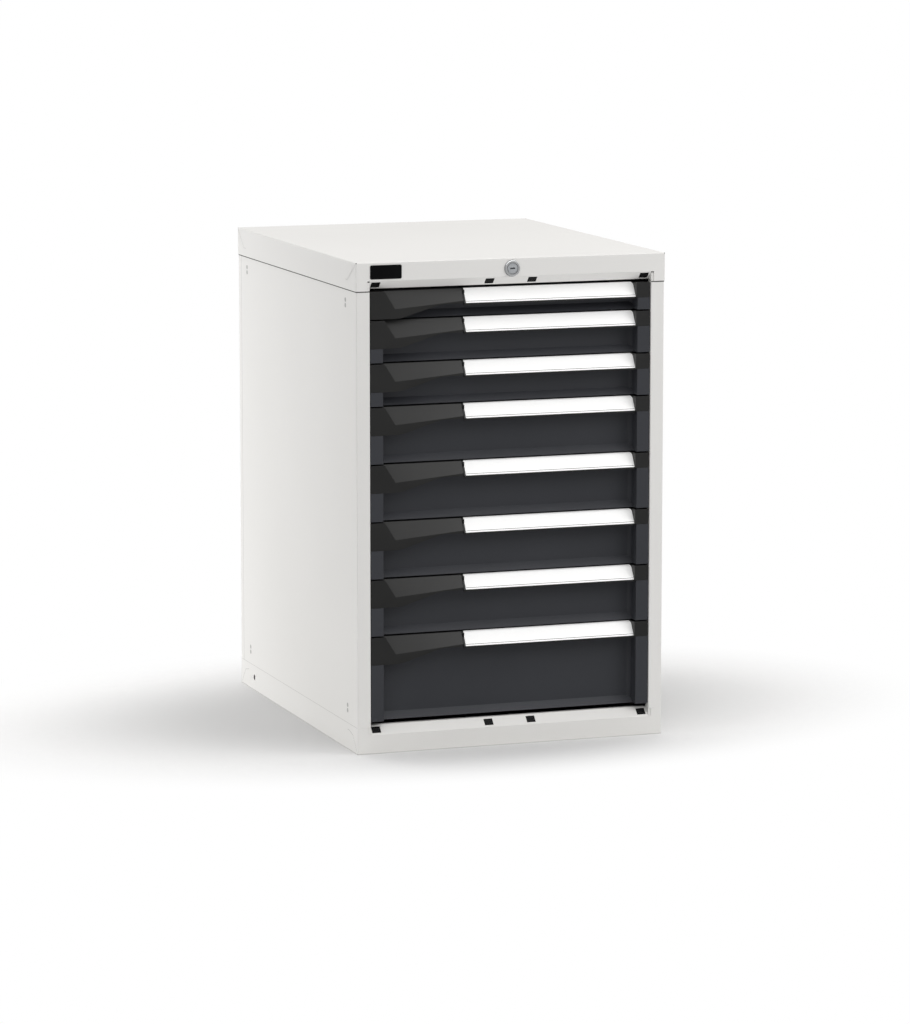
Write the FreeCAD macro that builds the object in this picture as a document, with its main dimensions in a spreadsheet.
import FreeCAD, Part
import os
import Sketcher

# Multi-drawer cabinet: a sheet-steel case with eight drawers on telescopic runners.
# X points right, Y points back, Z points up. The origin is the middle of the underside.

driving = {
    # Case
    "width": 564.0,
    "depth": 700.0,
    "height": 850.0,
    "sheet_steel": 1.2,
    "bend_radius": 2.0,
    "wall_bend_radius": 1.6,
    "cap_height": 49.0,
    "cap_overlap": 15.0,
    "seam": 1.6,
    "joggle": 0.3,
    "foot_low": 28.0,
    "foot_high": 60.0,
    "base_height": 46.3,
    "post_width": 24.2,
    "post_return": 14.0,
    "rear_flange": 16.8,
    "cap_face": 32.0,
    "cap_slope": 13.8,
    "base_face": 33.0,
    "base_slope": 15.2,
    "slope_return": 10.0,
    "slope_root": 2.0,
    "corner_notch": 4.6,
    "slot_width": 16.0,
    "slot_rise": 9.4,
    "slot_near": 39.0,
    "slot_far": 245.0,
    "plug_clearance": 0.15,
    "plug_recess": 0.3,
    "plug_depth": 5.0,
    "bolt_hole_radius": 5.25,
    "bolt_hole_rise": 24.0,
    "bolt_hole_inset": 83.0,
    # Slotted uprights and runners
    "upright_width": 40.0,
    "upright_sheet": 1.5,
    "upright_front_inset": 60.0,
    "upright_rear_inset": 57.0,
    "upright_slot_width": 12.0,
    "upright_slot_rise": 6.0,
    "rail_sheet": 1.5,
    "rail_height": 26.0,
    "rail_width": 11.8,
    "rail_lip": 6.0,
    "rail_gap": 3.5,
    "rail_rise": 20.0,
    "rail_start": 33.0,
    "rail_length": 629.0,
    "carriage_length": 600.0,
    "carriage_start": 1.5,
    "carriage_bead": 2.5,
    "carriage_web": 4.0,
    "carriage_side_clearance": 1.2,
    "carriage_height_clearance": 0.5,
    # Drawers
    "height_unit": 24.87,
    "stack_bottom": 54.6,
    "front_gap": 2.2,
    "front_setback": 1.8,
    "front_clearance": 1.3,
    "strip_width": 22.7,
    "front_sheet": 1.5,
    "recess_depth": 27.0,
    "recess_radius": 8.0,
    "lip_depth": 15.0,
    "lip_rise": 12.0,
    "corner_clearance": 0.3,
    "tray_half_width": 229.5,
    "tray_length": 612.0,
    "tray_sheet": 1.5,
    "tray_lift": 3.0,
    "tray_headroom": 11.0,
    "lug_length": 12.0,
    "lug_half_width": 12.0,
    "lug_rise": 27.0,
    "lug_lip": 8.0,
    # Handle moulding, its label strip and the grip
    "top_relief": 0.4,
    "handle_rise": 26.5,
    "handle_wall": 2.5,
    "holder_top_depth": 19.8,
    "holder_bottom_depth": 4.3,
    "holder_drop": 25.3,
    "holder_nose": 2.9,
    "rim_gap": 0.6,
    "rim_wall": 2.9,
    "label_thickness": 1.2,
    "label_margin": 0.2,
    "label_radius": 5.0,
    "label_left": 81.5,
    "cap_inner": 230.2,
    "grip_right": 87.5,
    "grip_gap": 3.0,
    "grip_wall": 2.5,
    "grip_edge": 1.5,
    "grip_depth": 15.0,
    "skirt_drop": 48.3,
    "scoop_drop": 25.3,
    "scoop_right": 127.3,
    "scoop_left": 201.5,
    "scoop_radius": 70.0,
    "scoop_corner": 4.0,
    "facet_left": 230.0,
    "facet_foot": 210.5,
    "facet_depth": 12.0,
    "facet_start": 0.45,
    "ridge_left_drop": 31.0,
    "ridge_right_drop": 20.5,
    "pivot_depth": 15.0,
    "pivot_drop": 5.0,
    "pivot_radius": 1.8,
    "pin_proud": 1.0,
    "pivot_clearance": 0.08,
    "rib_left": 241.5,
    "rib_width": 3.0,
    "rib_reach": 19.5,
    "rib_drop": 10.0,
    "ear_left": 236.0,
    "ear_front": 12.5,
    "ear_top": 3.2,
    "ear_bottom": 9.0,
    "plate_drop": 12.0,
    "plate_left": 250.0,
    # Lock
    "lock_drop": 18.0,
    "lock_ring_radius": 13.9,
    "lock_ring_proud": 2.8,
    "lock_ring_chamfer": 1.1,
    "lock_barrel_radius": 11.0,
    "lock_barrel_length": 26.0,
    "lock_nut_radius": 15.5,
    "lock_nut_thickness": 4.0,
    "plug_radius": 9.25,
    "plug_sink": 0.6,
    "turning_clearance": 0.08,
    "keyway_width": 9.0,
    "keyway_rise": 2.8,
    "keyway_depth": 7.0,
    "rod_radius": 4.0,
    "crank_radius": 6.364,
    "crank_disc_radius": 11.0,
    "crank_disc_thickness": 3.0,
    "crank_pin_radius": 3.0,
    "crank_pin_play": 0.4,
    "bar_width": 30.0,
    "bar_thickness": 3.0,
    "bar_inset": 29.0,
    "bar_foot": 6.0,
    "bar_head": 8.0,
    "hook_half_width": 8.0,
    "hook_rise": 7.5,
    "hook_height": 8.0,
    "hook_sheet": 1.5,
    "hook_reach": 14.5,
    "guide_clearance": 0.3,
    "guide_side": 7.0,
    "guide_front": 1.8,
    "guide_height": 20.0,
    "guide_low": 130.0,
    "guide_high": 715.0,
    "bracket_half_width": 36.0,
    "bracket_setback": 18.0,
}

# Front heights in units, from the top drawer to the bottom one
drawer_units = [2, 3, 3, 4, 4, 4, 4, 6]

# The uprights have one slot for every third height unit
upright_slot_every = 3

# The tangent of half of a 45-degree fold, and the side and height of a slanted square and a hexagon
half_fold = 0.4142
diagonal = 0.7071
hexagon_flat = 0.866

# Every cut starts and ends this far outside what it cuts
past = 1.0

doc = FreeCAD.newDocument("drawer_cabinet")
sheet = doc.addObject("Spreadsheet::Sheet", "sizes")


# A size carries its number and the words that a sketch or a feature is bound to
class Size:
    def __init__(self, value, words):
        self.value = value
        self.words = words

    def __add__(self, other):
        return combine(self, "+", other)

    def __radd__(self, other):
        return combine(other, "+", self)

    def __sub__(self, other):
        return combine(self, "-", other)

    def __rsub__(self, other):
        return combine(other, "-", self)

    def __mul__(self, other):
        return combine(self, "*", other)

    def __rmul__(self, other):
        return combine(other, "*", self)

    def __truediv__(self, other):
        return combine(self, "/", other)

    def __neg__(self):
        return combine(0, "-", self)


def as_size(item):
    if isinstance(item, Size):
        return item
    return Size(float(item), repr(float(item)))


def combine(left, sign, right):
    left = as_size(left)
    right = as_size(right)
    values = {
        "+": left.value + right.value,
        "-": left.value - right.value,
        "*": left.value * right.value,
    }
    if sign == "/":
        values["/"] = left.value / right.value
    return Size(values[sign], "(" + left.words + " " + sign + " " + right.words + ")")


class Sizes:
    pass


s = Sizes()
for row, (alias, number) in enumerate(driving.items(), start=1):
    sheet.set("A" + str(row), alias.replace("_", " "))
    sheet.set("B" + str(row), str(number))
    sheet.setAlias("B" + str(row), alias)
    setattr(s, alias, Size(number, "sizes." + alias))
doc.recompute()


def bind(item, path, size):
    item.setExpression(path, as_size(size).words)


def new_body(label):
    body = doc.addObject("PartDesign::Body", label)
    body.Label = label
    return body


def origin_plane(body, role):
    for feature in body.Origin.OriginFeatures:
        if feature.Role == role:
            return feature


def new_sketch(body, role, level):
    sketch = body.newObject("Sketcher::SketchObject", "Outline")
    sketch.AttachmentSupport = (origin_plane(body, role), "")
    sketch.MapMode = "FlatFace"
    # The XZ plane looks towards the front, so its level counts the other way
    bind(sketch, "AttachmentOffset.Base.z", -as_size(level) if role == "XZ_Plane" else level)
    return sketch


# Closed outlines of straight edges, each corner placed by two bound distances
def draw_loops(sketch, loops):
    for loop in loops:
        points = [(as_size(x), as_size(y)) for x, y in loop]
        count = len(points)
        first = sketch.GeometryCount
        lines = []
        constraints = []
        bindings = []
        for i in range(count):
            start = points[i]
            end = points[(i + 1) % count]
            lines.append(Part.LineSegment(
                FreeCAD.Vector(start[0].value, start[1].value, 0),
                FreeCAD.Vector(end[0].value, end[1].value, 0)))
            constraints.append(Sketcher.Constraint(
                "Coincident", first + i, 2, first + (i + 1) % count, 1))
            for kind, name, size in (("DistanceX", "across", start[0]), ("DistanceY", "up", start[1])):
                place = Sketcher.Constraint(kind, first + i, 1, size.value)
                place.Name = name + str(first + i)
                constraints.append(place)
                bindings.append((place.Name, size))
        sketch.addGeometry(lines)
        sketch.addConstraint(constraints)
        for name, size in bindings:
            bind(sketch, "Constraints." + name, size)


def draw_circle(sketch, centre, radius):
    across = as_size(centre[0])
    up = as_size(centre[1])
    middle = FreeCAD.Vector(across.value, up.value, 0)
    index = sketch.addGeometry(Part.Circle(middle, FreeCAD.Vector(0, 0, 1), radius.value))
    for kind, name, size in (("DistanceX", "across", across), ("DistanceY", "up", up)):
        place = sketch.addConstraint(Sketcher.Constraint(kind, index, 3, size.value))
        sketch.renameConstraint(place, name + str(index))
        bind(sketch, "Constraints." + name + str(index), size)
    place = sketch.addConstraint(Sketcher.Constraint("Radius", index, radius.value))
    sketch.renameConstraint(place, "radius" + str(index))
    bind(sketch, "Constraints.radius" + str(index), radius)


def extrude(body, kind, sketch, role, start, end):
    feature = body.newObject("PartDesign::" + kind, kind)
    feature.Profile = sketch
    bind(feature, "Length", as_size(end) - start)
    # Both kinds run from start towards the larger coordinate
    feature.Reversed = (role == "XZ_Plane") if kind == "Pad" else (role != "XZ_Plane")
    return feature


def add(body, role, loops, start, end):
    sketch = new_sketch(body, role, start)
    draw_loops(sketch, loops)
    return extrude(body, "Pad", sketch, role, start, end)


def cut(body, role, loops, start, end):
    sketch = new_sketch(body, role, start)
    draw_loops(sketch, loops)
    return extrude(body, "Pocket", sketch, role, start, end)


def add_round(body, role, centre, radius, start, end):
    sketch = new_sketch(body, role, start)
    draw_circle(sketch, centre, radius)
    return extrude(body, "Pad", sketch, role, start, end)


def cut_round(body, role, centre, radius, start, end):
    sketch = new_sketch(body, role, start)
    draw_circle(sketch, centre, radius)
    return extrude(body, "Pocket", sketch, role, start, end)


def loft(body, kind, role, sections):
    sketches = []
    for level, loop in sections:
        sketch = new_sketch(body, role, level)
        draw_loops(sketch, [loop])
        sketches.append(sketch)
    feature = body.newObject("PartDesign::" + kind, kind)
    feature.Profile = sketches[0]
    feature.Sections = sketches[1:]
    feature.Ruled = True
    return feature


def box(x0, x1, y0, y1):
    return [(x0, y0), (x1, y0), (x1, y1), (x0, y1)]


def mirrored(loop):
    return [(-as_size(x), y) for x, y in loop]


# Names of the edges whose two ends both lie at the given places
def edges_at(shape, places):
    names = []
    for number, edge in enumerate(shape.Edges, start=1):
        for place in places:
            near = True
            for vertex in edge.Vertexes:
                for axis, size in place.items():
                    if abs(getattr(vertex.Point, axis) - as_size(size).value) > 0.01:
                        near = False
            if near and len(edge.Vertexes) == 2:
                names.append("Edge" + str(number))
                break
    return names


def round_edges(body, radius, places):
    doc.recompute()
    last = body.Tip
    fillet = body.newObject("PartDesign::Fillet", "Fillet")
    fillet.Base = (last, edges_at(last.Shape, places))
    bind(fillet, "Radius", radius)
    return fillet


# Chamfer along the edges that lie in the plane at this Y
def chamfer_front(body, y, size):
    doc.recompute()
    last = body.Tip
    names = []
    for number, edge in enumerate(last.Shape.Edges, start=1):
        if abs(edge.CenterOfMass.y - y.value) < 0.01:
            names.append("Edge" + str(number))
    chamfer = body.newObject("PartDesign::Chamfer", "Chamfer")
    chamfer.Base = (last, names)
    bind(chamfer, "Size", size)
    return chamfer


# Shared planes of the case
steel = s.sheet_steel
cap_side = s.width / 2
cap_front = -s.depth / 2
cap_rear = s.depth / 2
case_side = cap_side - steel
case_front = cap_front + steel
case_rear = cap_rear - steel
case_inside = case_side - steel
post_inner = case_side - s.post_width
panel_rear = case_rear - s.rear_flange
cap_bottom = s.height - s.cap_height
panel_top = cap_bottom + s.cap_overlap
notch_side = post_inner + s.corner_notch
cap_bend = s.height - s.cap_face
cap_slope_foot = cap_bend - s.cap_slope
base_slope_head = s.base_face + s.base_slope
back_inside = case_rear - steel

# Shared planes of the drawers and runners
front_plane = case_front + s.front_setback
front_side = post_inner - s.front_clearance
strip_inner = front_side - s.strip_width
recess_back = front_plane + s.recess_depth
front_back = recess_back + s.front_sheet
tray_side = s.tray_half_width + s.tray_sheet
tray_rear = front_back + s.tray_length + 2 * s.tray_sheet
drawer_rail_outer = tray_side + s.rail_width
case_rail_inner = drawer_rail_outer + s.rail_gap
case_rail_outer = case_rail_inner + s.rail_width
lug_rear = tray_rear + s.lug_length
lug_lip_bottom = s.lug_rise - s.lug_lip

# The lock's axis and its bar, which stands behind the drawers
lock_height = s.height - s.lock_drop
crank_across = s.crank_radius * diagonal
bar_middle = -s.crank_radius
bar_rear = back_inside - s.bar_inset + s.bar_thickness
bar_front = back_inside - s.bar_inset


def front_height(units):
    return s.height_unit * units - s.front_gap


def front_bottom(index):
    units_below = sum(drawer_units[index + 1:])
    return s.stack_bottom + s.height_unit * units_below + s.front_gap / 2


# One side wall, folded at the front into the post that frames the drawers
def side_panel(label, turn):
    body = new_body(label)
    section = [
        (case_side, case_front),
        (case_side, panel_rear),
        (case_inside, panel_rear),
        (case_inside, case_front + steel),
        (post_inner + steel, case_front + steel),
        (post_inner + steel, case_front + s.post_return),
        (post_inner, case_front + s.post_return),
        (post_inner, case_front),
    ]
    add(body, "XY_Plane", [turn(section)], s.base_height, panel_top)
    corners = turn([(case_side, case_front), (post_inner, case_front)])
    round_edges(body, s.wall_bend_radius, [{"x": x, "y": y} for x, y in corners])
    # Above the seam the wall steps in a little, so that the lid slips over it
    step_in = [
        (case_side + past, case_front - past),
        (case_side + past, panel_rear + past),
        (case_side - s.joggle, panel_rear + past),
        (case_side - s.joggle, case_front + s.joggle),
        (post_inner - past, case_front + s.joggle),
        (post_inner - past, case_front - past),
    ]
    cut(body, "XY_Plane", [turn(step_in)], cap_bottom - s.seam, panel_top + past)
    # The post's foot reaches down behind the base's front wall and closes the end of its slope
    foot = [
        (case_inside, case_front + steel),
        (case_inside, case_front + 2 * steel),
        (post_inner + steel, case_front + 2 * steel),
        (post_inner + steel, case_front + s.post_return),
        (post_inner, case_front + s.post_return),
        (post_inner, case_front + steel),
    ]
    add(body, "XY_Plane", [turn(foot)], s.foot_low, s.foot_high)
    return body


# The back wall is a shallow tray whose side flanges close the rear corners
def back_panel():
    body = new_body("back_panel")
    section = [
        (-case_side, panel_rear),
        (-case_inside, panel_rear),
        (-case_inside, back_inside),
        (case_inside, back_inside),
        (case_inside, panel_rear),
        (case_side, panel_rear),
        (case_side, case_rear),
        (-case_side, case_rear),
    ]
    add(body, "XY_Plane", [section], s.base_height, panel_top)
    round_edges(body, s.wall_bend_radius, [
        {"x": case_side, "y": case_rear}, {"x": -case_side, "y": case_rear}])
    step_in = [
        (case_side + past, panel_rear - past),
        (case_side + past, case_rear + past),
        (-case_side - past, case_rear + past),
        (-case_side - past, panel_rear - past),
        (-case_side + s.joggle, panel_rear - past),
        (-case_side + s.joggle, case_rear - s.joggle),
        (case_side - s.joggle, case_rear - s.joggle),
        (case_side - s.joggle, panel_rear - past),
    ]
    cut(body, "XY_Plane", [step_in], cap_bottom - s.seam, panel_top + past)
    return body


def slope_slots(z_middle):
    low = z_middle - s.slot_rise / 2
    high = z_middle + s.slot_rise / 2
    half = s.slot_width / 2
    places = [-s.slot_far, -s.slot_near, s.slot_near, s.slot_far]
    return [box(x - half, x + half, low, high) for x in places]


cap_slot_height = cap_bend - s.cap_slope / 2
base_slot_height = s.base_face + s.base_slope / 2


# Bottom tray of the case, with its front edge folded back at 45 degrees
def base_pan():
    body = new_body("base_pan")
    add(body, "XY_Plane", [box(-case_side, case_side, case_front, case_rear)], 0, s.base_height)
    round_edges(body, s.wall_bend_radius, [
        {"x": case_side, "y": case_front}, {"x": -case_side, "y": case_front},
        {"x": case_side, "y": case_rear}, {"x": -case_side, "y": case_rear}])
    inside = box(-case_inside, case_inside, case_front + steel, back_inside)
    cut(body, "XY_Plane", [inside], steel, s.base_height + past)
    opening = box(-notch_side, notch_side, s.base_face, s.base_height + past)
    cut(body, "XZ_Plane", [opening], case_front - past, case_front + steel + past)
    slope_back = case_front + s.base_slope
    lap = steel * half_fold
    slope = [
        (case_front, s.base_face - s.slope_root),
        (case_front, s.base_face),
        (slope_back, base_slope_head),
        (slope_back + s.slope_return, base_slope_head),
        (slope_back + s.slope_return, base_slope_head - steel),
        (slope_back + lap, base_slope_head - steel),
        (case_front + steel, s.base_face - lap),
        (case_front + steel, s.base_face - s.slope_root),
    ]
    add(body, "YZ_Plane", [slope], -post_inner, post_inner)
    cut(body, "XZ_Plane", slope_slots(base_slot_height), case_front - past, slope_back + past)
    hole = (case_rear + steel - s.bolt_hole_inset, s.bolt_hole_rise)
    cut_round(body, "YZ_Plane", hole, s.bolt_hole_radius, -case_side - past, case_side + past)
    return body


# Lid of the case, which laps over the walls, with its front edge folded in at 45 degrees
def top_cap():
    body = new_body("top_cap")
    add(body, "XY_Plane", [box(-cap_side, cap_side, cap_front, cap_rear)], cap_bottom, s.height)
    round_edges(body, s.bend_radius, [
        {"x": cap_side, "y": cap_front}, {"x": -cap_side, "y": cap_front},
        {"x": cap_side, "y": cap_rear}, {"x": -cap_side, "y": cap_rear},
        {"z": s.height}])
    inside = box(-case_side, case_side, case_front, case_rear)
    cut(body, "XY_Plane", [inside], cap_bottom - past, s.height - steel)
    opening = box(-notch_side, notch_side, cap_bottom - past, cap_bend)
    cut(body, "XZ_Plane", [opening], cap_front - past, case_front + past)
    slope_back = cap_front + s.cap_slope
    lap = steel * half_fold
    slope = [
        (cap_front, cap_bend + s.slope_root),
        (cap_front, cap_bend),
        (slope_back, cap_slope_foot),
        (slope_back + s.slope_return, cap_slope_foot),
        (slope_back + s.slope_return, cap_slope_foot + steel),
        (slope_back + lap, cap_slope_foot + steel),
        (cap_front + steel, cap_bend + lap),
        (cap_front + steel, cap_bend + s.slope_root),
    ]
    add(body, "YZ_Plane", [slope], -post_inner, post_inner)
    cut(body, "XZ_Plane", slope_slots(cap_slot_height), cap_front - past, slope_back + past)
    cut_round(body, "XZ_Plane", (0, lock_height), s.lock_barrel_radius + s.turning_clearance,
              cap_front - past, cap_front + steel + past)
    return body


# Eight plastic plugs that close the slots in the two sloping edges
def slot_plugs():
    body = new_body("slot_plugs")
    half_rise = s.slot_rise / 2 - s.plug_clearance
    half_width = s.slot_width / 2 - s.plug_clearance
    cap_low = cap_slot_height - half_rise
    cap_high = cap_slot_height + half_rise
    base_low = base_slot_height - half_rise
    base_high = base_slot_height + half_rise
    cap_face = cap_front + cap_bend + s.plug_recess
    base_face = case_front - s.base_face + s.plug_recess
    cap_plug = [
        (cap_face - cap_high, cap_high),
        (cap_face - cap_low, cap_low),
        (cap_face - cap_low + s.plug_depth, cap_low),
        (cap_face - cap_high + s.plug_depth, cap_high),
    ]
    base_plug = [
        (base_face + base_low, base_low),
        (base_face + base_high, base_high),
        (base_face + base_high + s.plug_depth, base_high),
        (base_face + base_low + s.plug_depth, base_low),
    ]
    for x in (-s.slot_far, -s.slot_near, s.slot_near, s.slot_far):
        add(body, "YZ_Plane", [cap_plug, base_plug], x - half_width, x + half_width)
    return body


# Four folded channels, each with a row of slots for the runners' hooks
def runner_uprights():
    body = new_body("runner_uprights")
    web = case_rail_outer
    wall = s.upright_sheet
    half = s.upright_width / 2
    sections = []
    slots = []
    for y in (cap_front + s.upright_front_inset, cap_rear - s.upright_rear_inset):
        section = [
            (web, y - half),
            (case_inside, y - half),
            (case_inside, y - half + wall),
            (web + wall, y - half + wall),
            (web + wall, y + half - wall),
            (case_inside, y + half - wall),
            (case_inside, y + half),
            (web, y + half),
        ]
        sections.append(section)
        sections.append(mirrored(section))
        low = s.stack_bottom + s.height_unit / 2
        slots.append(box(y - s.upright_slot_width / 2, y + s.upright_slot_width / 2,
                         low, low + s.upright_slot_rise))
    add(body, "XY_Plane", sections, steel, s.height - steel)
    pocket = cut(body, "YZ_Plane", slots, -web - wall - past, web + wall + past)
    doc.recompute()
    pattern = body.newObject("PartDesign::LinearPattern", "SlotRow")
    pattern.Originals = [pocket]
    pattern.Direction = (origin_plane(body, "Z_Axis"), [""])
    pattern.Occurrences = sum(drawer_units) // upright_slot_every
    bind(pattern, "Length", s.height_unit * upright_slot_every * (pattern.Occurrences - 1))
    body.Tip = pattern
    return body


# Section of a runner's outer and inner rail: a channel whose edges turn in over the carriage
def rail_section(back, front, middle):
    toward = 1 if as_size(front).value > as_size(back).value else -1
    wall = s.rail_sheet * toward
    half = s.rail_height / 2
    inner = half - s.rail_sheet
    lip = half - s.rail_lip
    return [
        (back, middle + half),
        (front, middle + half),
        (front, middle + lip),
        (front - wall, middle + lip),
        (front - wall, middle + inner),
        (back + wall, middle + inner),
        (back + wall, middle - inner),
        (front - wall, middle - inner),
        (front - wall, middle - lip),
        (front, middle - lip),
        (front, middle - half),
        (back, middle - half),
    ]


# Sixteen rails hooked to the uprights, two for each drawer
def cabinet_rails():
    body = new_body("cabinet_rails")
    start = cap_front + s.rail_start
    for index in range(len(drawer_units)):
        section = rail_section(case_rail_outer, case_rail_inner, front_bottom(index) + s.rail_rise)
        add(body, "XZ_Plane", [section, mirrored(section)], start, start + s.rail_length)
    return body


# The pair of carriages that runs between the case's rails and the drawer's rails
def drawer_carriages(label, index):
    body = new_body(label)
    inner = tray_side + s.rail_sheet + s.carriage_side_clearance
    outer = case_rail_outer - s.rail_sheet - s.carriage_side_clearance
    bead = s.carriage_bead
    half = s.rail_height / 2 - s.rail_sheet - s.carriage_height_clearance
    web = s.carriage_web / 2
    section = [
        (inner, -half),
        (inner + bead, -half),
        (inner + bead, -web),
        (outer - bead, -web),
        (outer - bead, -half),
        (outer, -half),
        (outer, half),
        (outer - bead, half),
        (outer - bead, web),
        (inner + bead, web),
        (inner + bead, half),
        (inner, half),
    ]
    start = front_back + s.carriage_start
    add(body, "XZ_Plane", [section, mirrored(section)], start, start + s.carriage_length)
    bind(body, "Placement.Base.z", front_bottom(index) + s.rail_rise)
    return body


# Folded tray with the inner rails welded to its sides and the lock's lug on its back
def drawer_tray(label, index):
    body = new_body(label)
    wall = s.tray_sheet
    wall_top = front_height(drawer_units[index]) - s.tray_headroom
    floor = s.tray_lift
    add(body, "XY_Plane", [box(-tray_side, tray_side, front_back, tray_rear)], floor, wall_top)
    inside = box(-s.tray_half_width, s.tray_half_width, front_back + wall, tray_rear - wall)
    cut(body, "XY_Plane", [inside], floor + steel, wall_top + past)
    rail = rail_section(tray_side, drawer_rail_outer, s.rail_rise)
    add(body, "XZ_Plane", [rail, mirrored(rail)], front_back + s.carriage_start, tray_rear)
    lug = [
        (tray_rear, s.lug_rise),
        (lug_rear, s.lug_rise),
        (lug_rear, lug_lip_bottom),
        (lug_rear - wall, lug_lip_bottom),
        (lug_rear - wall, s.lug_rise - wall),
        (tray_rear, s.lug_rise - wall),
    ]
    add(body, "YZ_Plane", [lug], bar_middle - s.lug_half_width, bar_middle + s.lug_half_width)
    bind(body, "Placement.Base.z", front_bottom(index))
    return body


# Pressed front: two strips at the face and a deep hollow between them, with a rising lip below
def drawer_front(label, index):
    body = new_body(label)
    rise = front_height(drawer_units[index])
    wall = s.front_sheet
    add(body, "XY_Plane", [box(-front_side, front_side, front_plane, front_back)], 0, rise)
    lip_foot = front_plane + s.lip_depth
    hollow = [
        (front_plane - past, -past),
        (lip_foot, -past),
        (lip_foot, 0),
        (recess_back, s.lip_rise),
        (recess_back, rise + past),
        (front_plane - past, rise + past),
    ]
    cut(body, "YZ_Plane", [hollow], -strip_inner, strip_inner)
    round_edges(body, s.recess_radius, [
        {"x": strip_inner, "y": recess_back}, {"x": -strip_inner, "y": recess_back}])
    right_step = rise - s.handle_rise - s.corner_clearance
    left_step = rise - s.skirt_drop - s.corner_clearance
    square = strip_inner - s.recess_radius - s.corner_clearance
    right_corner = box(square, front_side + past, right_step, rise + past)
    cut(body, "XZ_Plane", [right_corner], front_plane - past, recess_back)
    left_floor = left_step if left_step.value > 2 * s.front_sheet.value else as_size(-past)
    left_corner = box(-front_side - past, -square, left_floor, rise + past)
    cut(body, "XZ_Plane", [left_corner], front_plane - past, recess_back)
    # The strips are folded sheet, hollow from behind
    right_hollow = box(strip_inner + wall, front_side - wall, wall, right_step - wall)
    cut(body, "XZ_Plane", [right_hollow], front_plane + wall, front_back + past)
    if left_step.value > 4 * s.front_sheet.value:
        left_hollow = box(-front_side + wall, -strip_inner - wall, wall, left_step - wall)
        cut(body, "XZ_Plane", [left_hollow], front_plane + wall, front_back + past)
    # Behind the lip, which rises at 45 degrees, the sheet keeps its thickness
    hollow_start = lip_foot + wall + wall * 2 * diagonal
    hollow_top = wall + front_back + past - hollow_start
    lip_back = [(hollow_start, wall), (front_back + past, wall), (front_back + past, hollow_top)]
    cut(body, "YZ_Plane", [lip_back], -strip_inner + s.recess_radius, strip_inner - s.recess_radius)
    bind(body, "Placement.Base.z", front_bottom(index))
    return body


# Moulding across the top of a front: sloping label holder, end cap, and the ears of the grip's hinge
def drawer_handle(label, index):
    body = new_body(label)
    top = -s.top_relief
    wall = s.handle_wall
    seat_low = front_plane + s.holder_bottom_depth
    seat_high = front_plane + s.holder_top_depth
    rim_front = seat_low - s.label_thickness - s.rim_gap
    holder = [
        (seat_high, top),
        (seat_low, -s.holder_drop),
        (rim_front, -s.holder_drop - s.rim_gap),
        (rim_front, -s.holder_drop - s.holder_nose),
        (seat_low, -s.holder_drop - s.holder_nose - s.rim_gap),
        (seat_low + s.rim_wall, -s.holder_drop - s.holder_nose),
        (seat_high + s.rim_wall, top - wall),
        (recess_back, top - wall),
        (recess_back, top),
    ]
    left = -s.grip_right + s.grip_gap
    add(body, "YZ_Plane", [holder], left, s.cap_inner)
    end_cap = box(s.cap_inner, front_side, -s.handle_rise, top)
    add(body, "XZ_Plane", [end_cap], front_plane, recess_back)
    end_hollow = box(s.cap_inner + wall, front_side - wall, -s.handle_rise + wall, top - wall)
    cut(body, "XZ_Plane", [end_hollow], front_plane + wall, recess_back + past)
    plate = box(-s.plate_left, left, -s.plate_drop, top)
    add(body, "XZ_Plane", [plate], recess_back - wall, recess_back)
    ear = box(front_plane + s.ear_front, recess_back, -s.ear_bottom, -s.ear_top)
    pivot = (front_plane + s.pivot_depth, -s.pivot_drop)
    ear_right = -s.ear_left + s.rib_width
    add(body, "YZ_Plane", [ear], -s.ear_left, ear_right)
    add(body, "YZ_Plane", [ear], left, left + s.rib_width)
    add_round(body, "YZ_Plane", pivot, s.pivot_radius, -s.rib_left - s.pin_proud, -s.ear_left)
    pin_left = left - s.grip_gap - s.grip_wall - s.pin_proud
    add_round(body, "YZ_Plane", pivot, s.pivot_radius, pin_left, left)
    bind(body, "Placement.Base.z", front_bottom(index) + front_height(drawer_units[index]))
    return body


# White strip for the drawer's contents, lying in the sloping holder
def drawer_label(label, index):
    body = new_body(label)
    low = -s.holder_drop + s.label_margin
    high = -s.top_relief - s.label_margin
    slant = (s.holder_top_depth - s.holder_bottom_depth) / (s.holder_drop - s.top_relief)
    low_depth = front_plane + s.holder_bottom_depth + slant * s.label_margin
    high_depth = front_plane + s.holder_top_depth - slant * s.label_margin
    right = s.cap_inner - s.label_margin
    thick = s.label_thickness
    add(body, "XZ_Plane", [box(-s.label_left, right, low, high)], low_depth - thick, high_depth)
    round_edges(body, s.label_radius, [{"x": right, "z": high}])
    # The strip leans back like the holder's face, so both sides of the blank are cut on the slant
    in_front = [
        (low_depth - thick, low),
        (high_depth - thick, high),
        (high_depth - thick, high + past),
        (low_depth - thick - past, high + past),
        (low_depth - thick - past, low),
    ]
    behind = [
        (low_depth, low),
        (high_depth, high),
        (high_depth + past, high),
        (high_depth + past, low - past),
        (low_depth, low - past),
    ]
    cut(body, "YZ_Plane", [in_front, behind], -s.label_left - past, right + past)
    bind(body, "Placement.Base.z", front_bottom(index) + front_height(drawer_units[index]))
    return body


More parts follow.
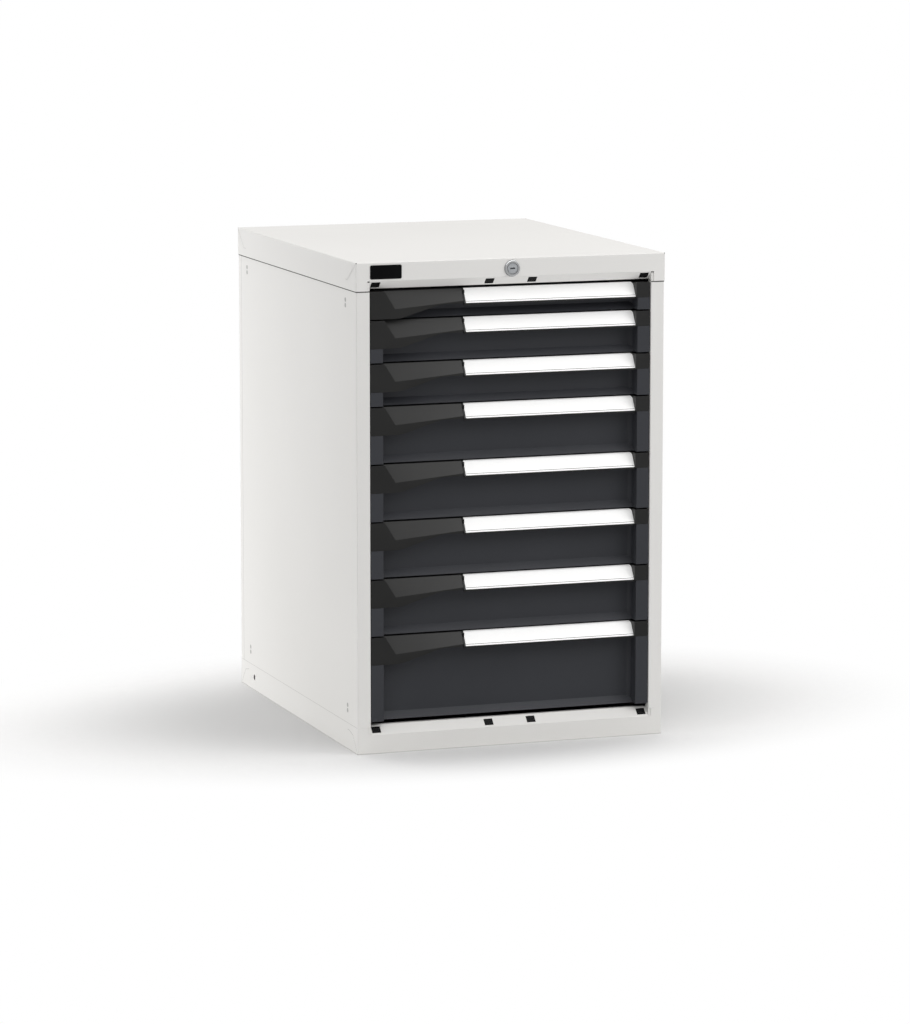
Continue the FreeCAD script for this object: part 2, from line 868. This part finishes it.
# Moulded grip: a flat face with a sloping facet cut into it, and a skirt that sweeps up to the right
def drawer_grip(label, index):
    body = new_body(label)
    top = -s.top_relief
    wall = s.grip_wall
    deep = s.skirt_drop.value < front_height(drawer_units[index]).value
    drop = s.skirt_drop if deep else front_height(drawer_units[index])
    right = -s.grip_right
    outline = [
        (-front_side, top),
        (right, top),
        (right, -s.scoop_drop),
        (-s.scoop_right, -s.scoop_drop),
        (-s.scoop_left, -drop),
        (-front_side, -drop),
    ]
    add(body, "XZ_Plane", [outline], front_plane, front_plane + s.grip_depth)
    round_edges(body, s.scoop_radius, [
        {"x": -s.scoop_right, "z": -s.scoop_drop}, {"x": -s.scoop_left, "z": -drop}])
    round_edges(body, s.scoop_corner, [{"x": right, "z": -s.scoop_drop}])
    # Open behind and below, so that fingers reach in behind the skirt
    edge = s.grip_edge
    below = -drop - past
    back = front_plane + s.grip_depth + past
    backing_left = -s.facet_left - wall
    behind_face = box(-front_side + wall, backing_left, below, top - wall)
    cut(body, "XZ_Plane", [behind_face], front_plane + wall, back)
    # The inside follows the slope of the facet, so the wall behind it stays even
    inside = [
        (front_plane + wall, below),
        (front_plane + wall, -s.ridge_left_drop),
        (front_plane + wall + s.facet_depth, top - edge),
        (back, top - edge),
        (back, below),
    ]
    cut(body, "YZ_Plane", [inside], backing_left, right - wall)
    rib = box(front_plane + edge, front_plane + s.rib_reach, -s.rib_drop, top - edge)
    add(body, "YZ_Plane", [rib], -s.rib_left, -s.rib_left + s.rib_width)
    end_rib = box(front_plane + s.ear_front, front_plane + s.rib_reach, -s.rib_drop, top)
    add(body, "YZ_Plane", [end_rib], right - wall, right)
    lean = (s.facet_left - s.facet_foot) / s.ridge_left_drop
    sliver = s.facet_start
    loft(body, "SubtractiveLoft", "XZ_Plane", [
        (front_plane, [
            (-s.facet_left, 0),
            (-s.facet_foot, -s.ridge_left_drop),
            (right + past, -s.ridge_right_drop),
            (right + past, 0)]),
        (front_plane + s.facet_depth, [
            (-s.facet_left, 0),
            (-s.facet_left + lean * sliver, -sliver),
            (right + past, -sliver),
            (right + past, 0)]),
    ])
    pivot = (front_plane + s.pivot_depth, -s.pivot_drop)
    hole = s.pivot_radius + s.pivot_clearance
    cut_round(body, "YZ_Plane", pivot, hole, -s.rib_left - past, -s.rib_left + s.rib_width + past)
    cut_round(body, "YZ_Plane", pivot, hole, right - wall - past, right + past)
    bind(body, "Placement.Base.z", front_bottom(index) + front_height(drawer_units[index]))
    return body


# Fixed barrel of the central lock with its ring in front, and the nut that clamps it to the fascia
def lock_body():
    body = new_body("lock_body")
    middle = (0, lock_height)
    add_round(body, "XZ_Plane", middle, s.lock_ring_radius, cap_front - s.lock_ring_proud, cap_front)
    chamfer_front(body, cap_front - s.lock_ring_proud, s.lock_ring_chamfer)
    add_round(body, "XZ_Plane", middle, s.lock_barrel_radius, cap_front, cap_front + s.lock_barrel_length)
    reach = s.lock_nut_radius
    flat = reach * hexagon_flat
    nut = [
        (reach, lock_height), (reach / 2, lock_height + flat), (-reach / 2, lock_height + flat),
        (-reach, lock_height), (-reach / 2, lock_height - flat), (reach / 2, lock_height - flat),
    ]
    nut_front = cap_front + steel
    add(body, "XZ_Plane", [nut], nut_front, nut_front + s.lock_nut_thickness)
    cut_round(body, "XZ_Plane", middle, s.plug_radius + s.turning_clearance,
              cap_front - s.lock_ring_proud - past, cap_front + s.lock_barrel_length + past)
    return body


# Turning plug with its keyway, the rod to the back of the case and the crank that lifts the bar
def lock_plug():
    body = new_body("lock_plug")
    middle = (0, lock_height)
    face = cap_front - s.lock_ring_proud + s.plug_sink
    tail = cap_front + s.lock_barrel_length
    disc_rear = bar_front - 2 * s.guide_clearance
    disc_front = disc_rear - s.crank_disc_thickness
    add_round(body, "XZ_Plane", middle, s.plug_radius, face, tail)
    half = s.keyway_width / 2
    keyway = box(-half, half, lock_height - s.keyway_rise / 2, lock_height + s.keyway_rise / 2)
    cut(body, "XZ_Plane", [keyway], face - past, face + s.keyway_depth)
    add_round(body, "XZ_Plane", middle, s.rod_radius, tail, disc_front)
    add_round(body, "XZ_Plane", middle, s.crank_disc_radius, disc_front, disc_rear)
    pin = (-crank_across, lock_height - crank_across)
    add_round(body, "XZ_Plane", pin, s.crank_pin_radius, disc_rear, bar_rear + s.pin_proud)
    return body


# Flat bar behind the drawers, with a cross slot for the crank pin and one hook for each drawer
def lock_bar():
    body = new_body("lock_bar")
    half = s.bar_width / 2
    pin_height = lock_height - crank_across
    foot = front_bottom(len(drawer_units) - 1) - s.bar_foot
    plate = box(bar_middle - half, bar_middle + half, foot, pin_height + s.bar_head)
    add(body, "XZ_Plane", [plate], bar_front, bar_rear)
    reach = s.crank_pin_radius + s.crank_pin_play
    slot = box(-s.crank_radius - reach, -crank_across + reach, pin_height - reach, pin_height + reach)
    cut(body, "XZ_Plane", [slot], bar_front - past, bar_rear + past)
    hooks = []
    for index in range(len(drawer_units)):
        low = front_bottom(index) + s.hook_rise
        tip = bar_front - s.hook_reach
        hooks.append([
            (bar_front, low),
            (tip, low),
            (tip, low + s.hook_height),
            (tip + s.hook_sheet, low + s.hook_height),
            (tip + s.hook_sheet, low + s.hook_sheet),
            (bar_front, low + s.hook_sheet),
        ])
    add(body, "YZ_Plane", hooks, bar_middle - s.hook_half_width, bar_middle + s.hook_half_width)
    return body


# Two blocks that guide the bar, and the bracket that carries the rod's rear end
def lock_guides():
    body = new_body("lock_bar_guides")
    half = s.bar_width / 2
    side = half + s.guide_clearance
    block = box(bar_middle - side - s.guide_side, bar_middle + side + s.guide_side,
                bar_front - s.guide_clearance - s.guide_front, back_inside)
    window = box(bar_middle - side, bar_middle + side,
                 bar_front - s.guide_clearance, bar_rear + s.guide_clearance)
    for low in (s.guide_low, s.guide_high):
        add(body, "XY_Plane", [block], low, low + s.guide_height)
        cut(body, "XY_Plane", [window], low - past, low + s.guide_height + past)
    wall = s.hook_sheet
    outer = s.bracket_half_width
    web = bar_front - s.bracket_setback
    bracket = [
        (-outer, case_rear), (-outer, web), (outer, web), (outer, case_rear),
        (outer - wall, case_rear), (outer - wall, web + wall),
        (-outer + wall, web + wall), (-outer + wall, case_rear),
    ]
    add(body, "XY_Plane", [bracket], panel_top, s.height - steel)
    bearing = s.rod_radius + s.turning_clearance
    cut_round(body, "XZ_Plane", (0, lock_height), bearing, web - past, web + wall + past)
    return body


pieces = [
    side_panel("side_panel_left", mirrored),
    side_panel("side_panel_right", list),
    back_panel(),
    base_pan(),
    top_cap(),
    slot_plugs(),
    runner_uprights(),
    cabinet_rails(),
    lock_body(),
    lock_plug(),
    lock_bar(),
    lock_guides(),
]
for index in range(len(drawer_units)):
    name = "drawer_" + str(index + 1)
    pieces.append(drawer_tray(name + "_tray", index))
    pieces.append(drawer_front(name + "_front", index))
    pieces.append(drawer_handle(name + "_handle", index))
    pieces.append(drawer_label(name + "_label", index))
    pieces.append(drawer_grip(name + "_grip", index))
    pieces.append(drawer_carriages(name + "_carriages", index))

doc.recompute()

# Every feature has to have worked, and every cut has to have removed something
least_cut = 1.0
for item in doc.Objects:
    if "Invalid" in item.State or "Error" in item.State:
        raise RuntimeError(item.Label + " did not recompute: " + str(item.State))
for body in pieces:
    if body.Shape.isNull() or not body.Shape.isValid():
        raise RuntimeError(body.Label + " has no valid shape")
    volume = 0.0
    for feature in body.Group:
        if feature.TypeId in ("PartDesign::Pocket", "PartDesign::SubtractiveLoft"):
            if feature.Shape.Volume > volume - least_cut:
                raise RuntimeError(body.Label + ": " + feature.Name + " removed nothing")
        if not feature.isDerivedFrom("Sketcher::SketchObject"):
            volume = feature.Shape.Volume

os.makedirs("parts", exist_ok=True)
for body in pieces:
    body.Shape.exportStep(os.path.join("parts", body.Label + ".step"))
print(len(pieces), "pieces written")
